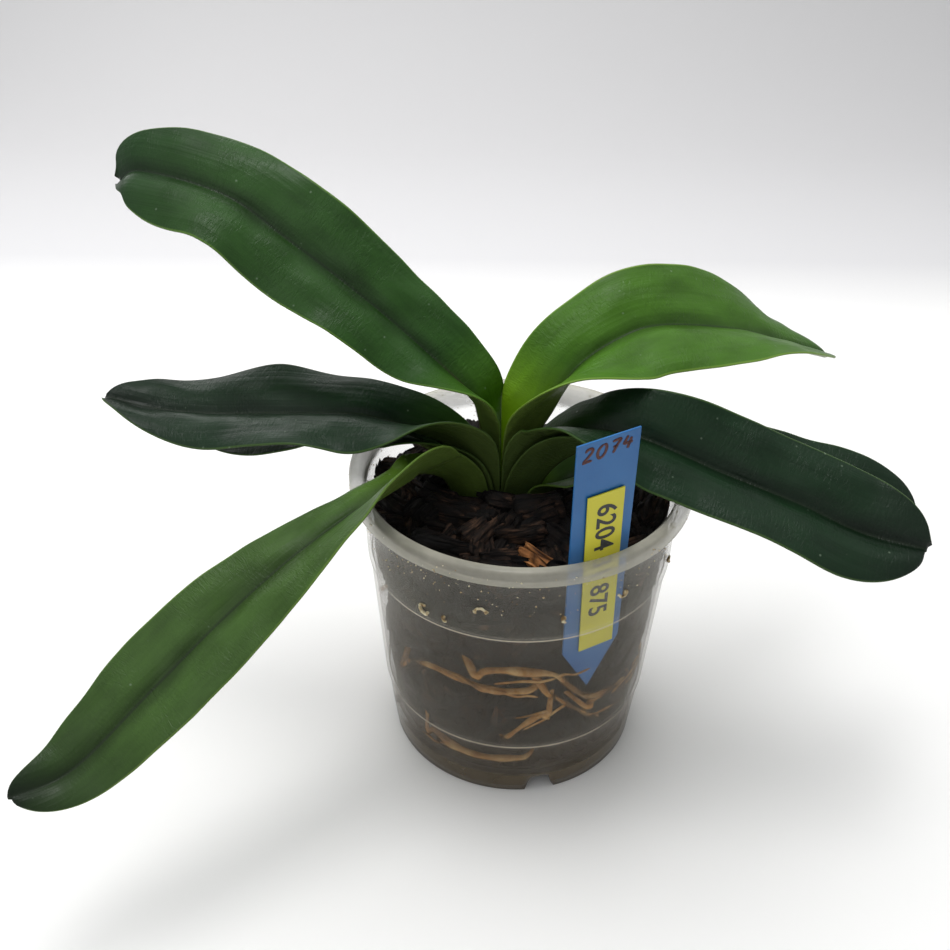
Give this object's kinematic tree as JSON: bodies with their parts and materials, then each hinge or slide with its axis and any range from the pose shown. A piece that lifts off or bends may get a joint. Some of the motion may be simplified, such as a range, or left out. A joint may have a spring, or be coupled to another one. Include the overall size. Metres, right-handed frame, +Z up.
{
  "type": "paphiopedilum orchid in a pot",
  "caption": "Lady's-slipper orchid without a flower: waxy strap leaves in two ranks, rooted in bark in a clear plastic pot with a blue plant tag.",
  "frame": {"origin": "middle of the footprint, on the surface that the pot stands on", "axes": "+Z up, +X along the fan of leaves, -Y towards the plant tag"},
  "size_m": [0.2622, 0.159, 0.1984],
  "materials": {
    "pot_plastic": "translucent moulded polypropylene",
    "bark": "damp rough bark",
    "pale_bark": "fresh dry bark",
    "root": "matte and slightly hairy",
    "leaf_dark": "waxy semi-gloss",
    "leaf_mid": "waxy semi-gloss",
    "leaf_young": "waxy semi-gloss",
    "tag_plastic": "smooth satin",
    "sticker_paper": "coated paper"
  },
  "bodies": {
    "root": {"pot": "pot_plastic", "stem_with_roots": "root", "bark_bed": "bark", "bark_chip_pale": "pale_bark", "leaf_1": "leaf_mid", "leaf_2": "leaf_dark", "leaf_3": "leaf_dark", "leaf_4": "leaf_mid", "leaf_5": "leaf_young", "leaf_6": "leaf_dark", "leaf_7": "leaf_dark", "leaf_8": "leaf_mid", "label_tag": "tag_plastic", "label_sticker": "sticker_paper"}
  },
  "joints": []
}
